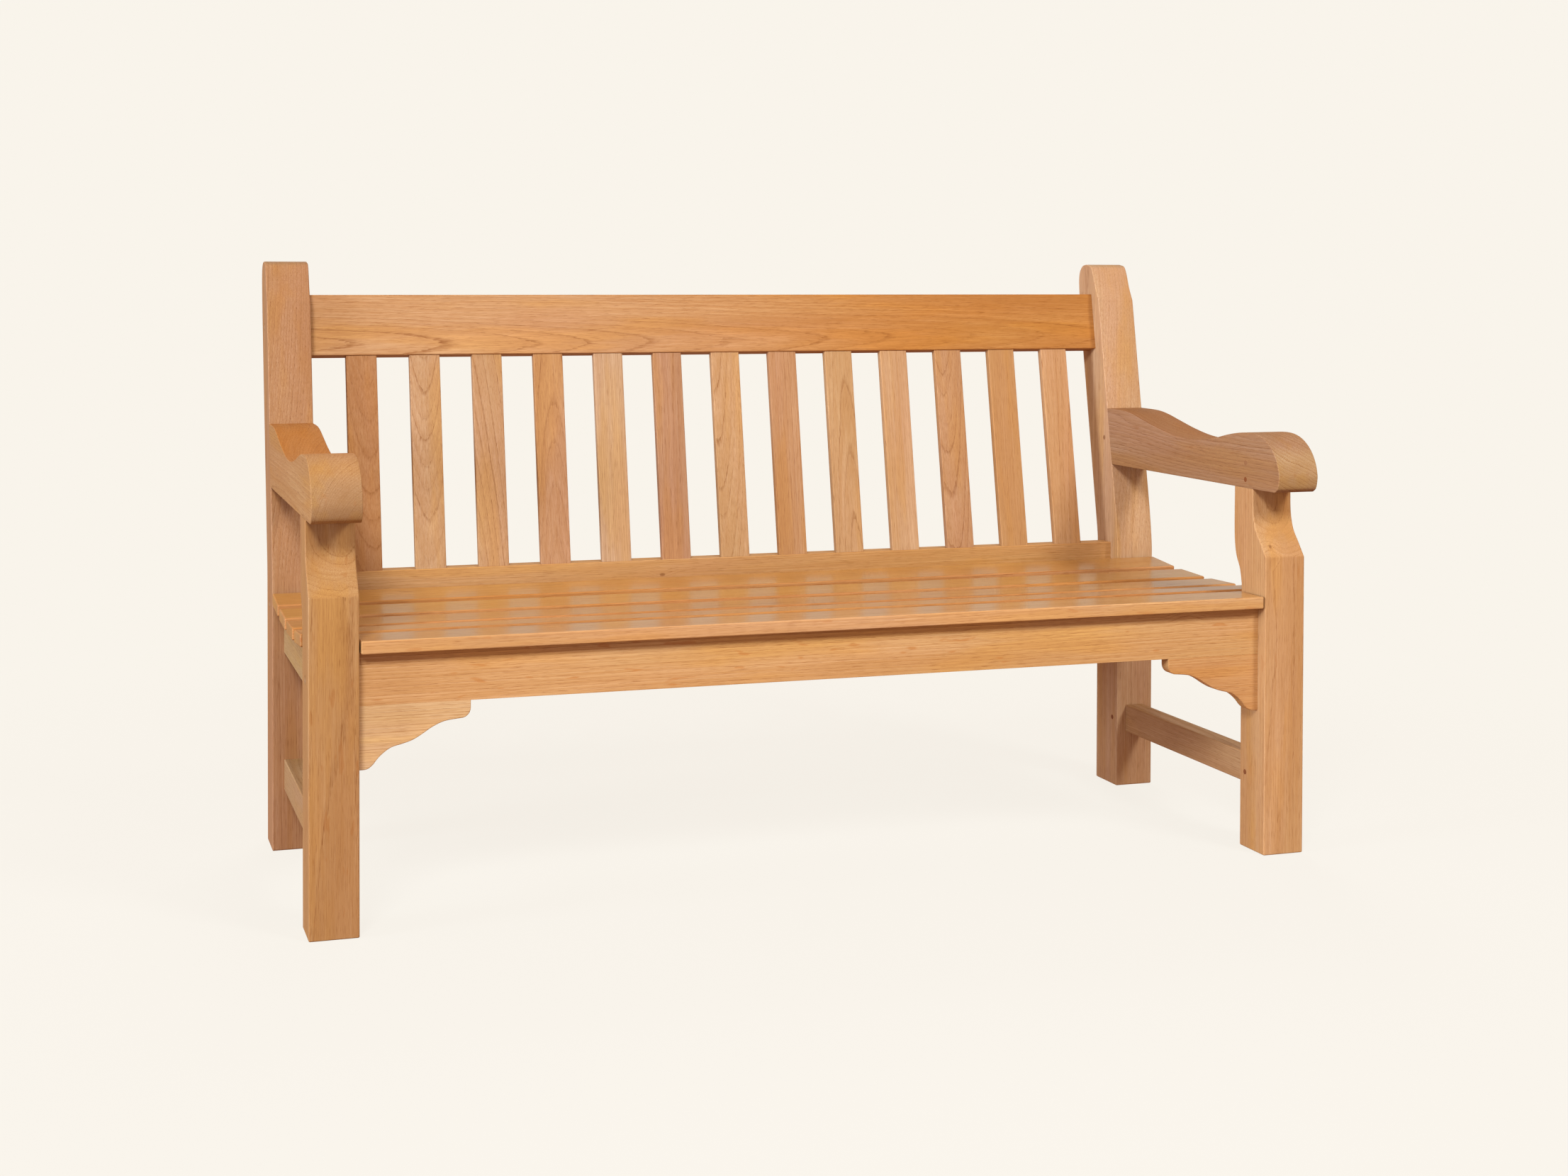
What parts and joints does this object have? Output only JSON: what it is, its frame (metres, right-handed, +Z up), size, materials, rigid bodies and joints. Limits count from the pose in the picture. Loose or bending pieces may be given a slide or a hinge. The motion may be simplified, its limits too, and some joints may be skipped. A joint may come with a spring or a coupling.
{
  "type": "garden bench",
  "caption": "Wooden garden bench for several people, with scrolled arms, a raked slatted back, a dished slatted seat and shaped corner brackets.",
  "frame": {"origin": "middle of the footprint at ground level: the centre of the bottom of the bounding box", "axes": "+Z up; +Y from the front to the back, so the seat faces -Y; X along the bench, with the left end, seen from the front, at -X"},
  "size_m": [1.52, 0.6564, 0.9111],
  "materials": {
    "post_wood": "oiled hardwood, semi-gloss, upright grain",
    "arm_wood": "oiled hardwood, semi-gloss, pale end grain at the nose",
    "rail_wood": "oiled hardwood, semi-gloss, golden, lengthwise grain",
    "slat_wood": "oiled hardwood, semi-gloss, tone varies from slat to slat",
    "seat_wood": "oiled hardwood, worn smooth, glossier than the frame",
    "peg_wood": "dark hardwood end grain",
    "zinc_steel": "zinc plated, dull"
  },
  "bodies": {
    "root": {"left_rear_post": "post_wood", "left_front_leg": "post_wood", "left_armrest": "arm_wood", "left_side_rail": "rail_wood", "left_stretcher": "rail_wood", "left_bracket": "rail_wood", "right_rear_post": "post_wood", "right_front_leg": "post_wood", "right_armrest": "arm_wood", "right_side_rail": "rail_wood", "right_stretcher": "rail_wood", "right_bracket": "rail_wood", "top_rail": "rail_wood", "lower_back_rail": "rail_wood", "front_rail": "rail_wood", "seat_bearer": "rail_wood", "back_slat_01": "slat_wood", "back_slat_02": "slat_wood", "back_slat_03": "slat_wood", "back_slat_04": "slat_wood", "back_slat_05": "slat_wood", "back_slat_06": "slat_wood", "back_slat_07": "slat_wood", "back_slat_08": "slat_wood", "back_slat_09": "slat_wood", "back_slat_10": "slat_wood", "back_slat_11": "slat_wood", "back_slat_12": "slat_wood", "back_slat_13": "slat_wood", "front_seat_slat": "seat_wood", "seat_slat_1": "seat_wood", "seat_slat_2": "seat_wood", "seat_slat_3": "seat_wood", "seat_slat_4": "seat_wood", "joint_pegs": "peg_wood", "frame_bolts": "zinc_steel", "bolt_washers": "zinc_steel", "barrel_nuts": "zinc_steel", "seat_screws": "zinc_steel", "bracket_screws": "zinc_steel"}
  },
  "joints": []
}
